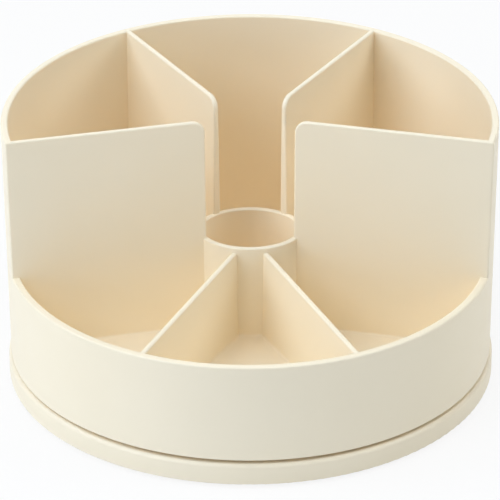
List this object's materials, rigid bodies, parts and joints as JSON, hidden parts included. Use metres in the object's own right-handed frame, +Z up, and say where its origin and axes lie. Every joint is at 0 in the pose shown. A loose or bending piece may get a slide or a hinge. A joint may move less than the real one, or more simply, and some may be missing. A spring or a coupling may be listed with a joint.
{
  "type": "rotating desk organizer",
  "caption": "Round desk organizer with a divided tub, tall pen spaces behind, low trays in front and a cup in the middle, turning on a ball bearing base.",
  "frame": {"origin": "on the turning axis, on the desk under the rubber feet", "axes": "+Z up along the turning axis; the low front, which a user faces, points along -Y"},
  "size_m": [0.16, 0.1599, 0.0909],
  "materials": {
    "tub_plastic": "satin moulded",
    "base_plastic": "satin moulded",
    "cage_plastic": "plain moulded",
    "steel": "polished",
    "foot_rubber": "matte"
  },
  "bodies": {
    "base": {"base_disc": "base_plastic", "foot_pad_1": "foot_rubber", "foot_pad_2": "foot_rubber", "foot_pad_3": "foot_rubber", "foot_pad_4": "foot_rubber", "foot_pad_5": "foot_rubber", "foot_pad_6": "foot_rubber"},
    "tub": {"organizer_tub": "tub_plastic", "pivot_washer": "steel", "pivot_screw": "steel"},
    "cage": {"ball_cage": "cage_plastic"},
    "bearing_ball_01": {"bearing_ball_01": "steel"},
    "bearing_ball_02": {"bearing_ball_02": "steel"},
    "bearing_ball_03": {"bearing_ball_03": "steel"},
    "bearing_ball_04": {"bearing_ball_04": "steel"},
    "bearing_ball_05": {"bearing_ball_05": "steel"},
    "bearing_ball_06": {"bearing_ball_06": "steel"},
    "bearing_ball_07": {"bearing_ball_07": "steel"},
    "bearing_ball_08": {"bearing_ball_08": "steel"},
    "bearing_ball_09": {"bearing_ball_09": "steel"},
    "bearing_ball_10": {"bearing_ball_10": "steel"},
    "bearing_ball_11": {"bearing_ball_11": "steel"},
    "bearing_ball_12": {"bearing_ball_12": "steel"}
  },
  "joints": [
    {"name": "turntable", "type": "hinge", "parent": "base", "child": "tub", "pos_m": [0, 0, 0.005], "axis": [0, 0, 1], "continuous": true},
    {"name": "cage_roll", "type": "hinge", "parent": "base", "child": "cage", "pos_m": [0, 0, 0.01132], "axis": [0, 0, 1], "continuous": true},
    {"name": "ball_01_spin", "type": "hinge", "parent": "cage", "child": "bearing_ball_01", "pos_m": [0.046, 0, 0.01132], "axis": [1, 0, 0], "continuous": true},
    {"name": "ball_02_spin", "type": "hinge", "parent": "cage", "child": "bearing_ball_02", "pos_m": [0.03984, 0.023, 0.01132], "axis": [0.866, 0.5, 0], "continuous": true},
    {"name": "ball_03_spin", "type": "hinge", "parent": "cage", "child": "bearing_ball_03", "pos_m": [0.023, 0.03984, 0.01132], "axis": [0.5, 0.866, 0], "continuous": true},
    {"name": "ball_04_spin", "type": "hinge", "parent": "cage", "child": "bearing_ball_04", "pos_m": [0, 0.046, 0.01132], "axis": [0, 1, 0], "continuous": true},
    {"name": "ball_05_spin", "type": "hinge", "parent": "cage", "child": "bearing_ball_05", "pos_m": [-0.023, 0.03984, 0.01132], "axis": [-0.5, 0.866, 0], "continuous": true},
    {"name": "ball_06_spin", "type": "hinge", "parent": "cage", "child": "bearing_ball_06", "pos_m": [-0.03984, 0.023, 0.01132], "axis": [-0.866, 0.5, 0], "continuous": true},
    {"name": "ball_07_spin", "type": "hinge", "parent": "cage", "child": "bearing_ball_07", "pos_m": [-0.046, 0, 0.01132], "axis": [-1, 0, 0], "continuous": true},
    {"name": "ball_08_spin", "type": "hinge", "parent": "cage", "child": "bearing_ball_08", "pos_m": [-0.03984, -0.023, 0.01132], "axis": [-0.866, -0.5, 0], "continuous": true},
    {"name": "ball_09_spin", "type": "hinge", "parent": "cage", "child": "bearing_ball_09", "pos_m": [-0.023, -0.03984, 0.01132], "axis": [-0.5, -0.866, 0], "continuous": true},
    {"name": "ball_10_spin", "type": "hinge", "parent": "cage", "child": "bearing_ball_10", "pos_m": [0, -0.046, 0.01132], "axis": [0, -1, 0], "continuous": true},
    {"name": "ball_11_spin", "type": "hinge", "parent": "cage", "child": "bearing_ball_11", "pos_m": [0.023, -0.03984, 0.01132], "axis": [0.5, -0.866, 0], "continuous": true},
    {"name": "ball_12_spin", "type": "hinge", "parent": "cage", "child": "bearing_ball_12", "pos_m": [0.03984, -0.023, 0.01132], "axis": [0.866, -0.5, 0], "continuous": true}
  ],
  "couplings": [
    {"joint": "cage_roll", "follows": "turntable", "ratio": 0.5},
    {"joint": "ball_01_spin", "follows": "turntable", "ratio": -9.2},
    {"joint": "ball_02_spin", "follows": "turntable", "ratio": -9.2},
    {"joint": "ball_03_spin", "follows": "turntable", "ratio": -9.2},
    {"joint": "ball_04_spin", "follows": "turntable", "ratio": -9.2},
    {"joint": "ball_05_spin", "follows": "turntable", "ratio": -9.2},
    {"joint": "ball_06_spin", "follows": "turntable", "ratio": -9.2},
    {"joint": "ball_07_spin", "follows": "turntable", "ratio": -9.2},
    {"joint": "ball_08_spin", "follows": "turntable", "ratio": -9.2},
    {"joint": "ball_09_spin", "follows": "turntable", "ratio": -9.2},
    {"joint": "ball_10_spin", "follows": "turntable", "ratio": -9.2},
    {"joint": "ball_11_spin", "follows": "turntable", "ratio": -9.2},
    {"joint": "ball_12_spin", "follows": "turntable", "ratio": -9.2}
  ]
}
